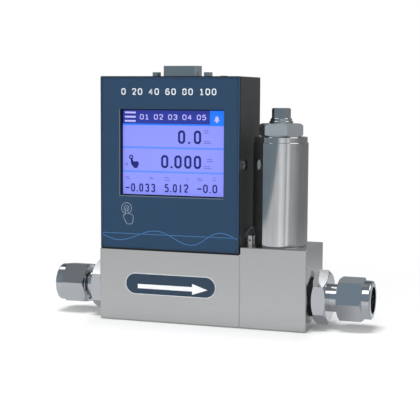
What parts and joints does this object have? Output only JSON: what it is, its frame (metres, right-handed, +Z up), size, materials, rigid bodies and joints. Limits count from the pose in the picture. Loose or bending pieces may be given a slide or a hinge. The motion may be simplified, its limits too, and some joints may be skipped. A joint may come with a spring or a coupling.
{
  "type": "gas mass flow meter",
  "caption": "Gas mass flow meter with a blue front panel, touch display, stainless base, compression fittings and a polished solenoid control valve.",
  "frame": {"origin": "centre of the base's flat underside", "axes": "+X along the gas flow from the inlet fitting to the outlet fitting, -Y out of the display, +Z up"},
  "size_m": [0.2006, 0.0424, 0.1544],
  "materials": {
    "base_steel": "fine ground stainless steel",
    "screw_steel": "plain machine screw steel",
    "seal_rubber": "moulded seal rubber",
    "inner_steel": "turned stainless steel",
    "filter_steel": "sintered stainless steel",
    "fitting_steel": "polished stainless steel",
    "seal_steel": "bonded seal washer",
    "winding_copper": "enamelled copper wire",
    "cover_aluminium": "plain aluminium",
    "housing_black": "satin black paint",
    "panel_blue": "matt blue print",
    "chassis_black": "satin black paint",
    "display_metal": "plated sheet",
    "display_face": "lit display under glass",
    "board_green": "solder mask over glass fibre",
    "post_brass": "turned brass",
    "component_black": "moulded epoxy",
    "connector_metal": "zinc plated steel",
    "connector_plastic": "moulded plastic",
    "contact_brass": "plated contact",
    "trim_plastic": "moulded plastic",
    "screw_black": "blackened steel",
    "plunger_steel": "ground magnetic steel",
    "spring_steel": "drawn spring wire",
    "bobbin_plastic": "moulded plastic",
    "coil_chrome": "mirror polished steel",
    "nut_chrome": "bright plated steel",
    "lead_black": "black cable sheath",
    "clip_grey": "plain aluminium",
    "label_blue": "printed plastic plate"
  },
  "bodies": {
    "meter": {"sensor_block": "base_steel", "valve_block": "base_steel", "tie_screws": "screw_steel", "seam_seal": "seal_rubber", "flow_element": "inner_steel", "inlet_filter": "filter_steel", "inlet_fitting": "fitting_steel", "inlet_nut": "fitting_steel", "inlet_front_ferrule": "inner_steel", "inlet_back_ferrule": "inner_steel", "outlet_fitting": "fitting_steel", "outlet_nut": "fitting_steel", "outlet_front_ferrule": "inner_steel", "outlet_back_ferrule": "inner_steel", "port_seals": "seal_steel", "sensor_base": "inner_steel", "sensor_seals": "seal_rubber", "capillary_tube": "inner_steel", "sensor_windings": "winding_copper", "sensor_cover": "cover_aluminium", "sensor_screws": "screw_steel", "housing_shell": "housing_black", "front_panel": "panel_blue", "front_chassis": "chassis_black", "display_frame": "display_metal", "display_glass": "display_face", "display_board": "board_green", "display_posts": "post_brass", "display_screws": "screw_steel", "main_board": "board_green", "main_board_posts": "post_brass", "main_board_screws": "screw_steel", "board_components": "component_black", "connector_shell": "connector_metal", "connector_insert": "connector_plastic", "connector_tails": "contact_brass", "jack_screws": "connector_metal", "jack_nuts": "connector_metal", "trim_plug": "trim_plastic", "cover_screws": "screw_steel", "side_screws": "screw_black", "valve_seat": "inner_steel", "valve_stem": "inner_steel", "stem_seal": "seal_rubber", "fixed_core": "inner_steel", "return_spring": "spring_steel", "coil_bottom_plate": "inner_steel", "coil_bobbin": "bobbin_plastic", "coil_winding": "winding_copper", "coil_housing": "coil_chrome", "coil_top_plate": "coil_chrome", "coil_nut": "nut_chrome", "stem_cap": "nut_chrome", "coil_lead": "lead_black", "lead_clip": "clip_grey", "flow_label": "label_blue"},
    "plunger": {"plunger": "plunger_steel", "plunger_seal": "seal_rubber"}
  },
  "joints": [
    {"name": "plunger_lift", "type": "slide", "parent": "meter", "child": "plunger", "axis": [0, 0, 1], "range_m": [0, 0.0006], "stiffness_N_per_m": 500, "springref_m": -0.004, "deforming": ["return_spring"]}
  ]
}
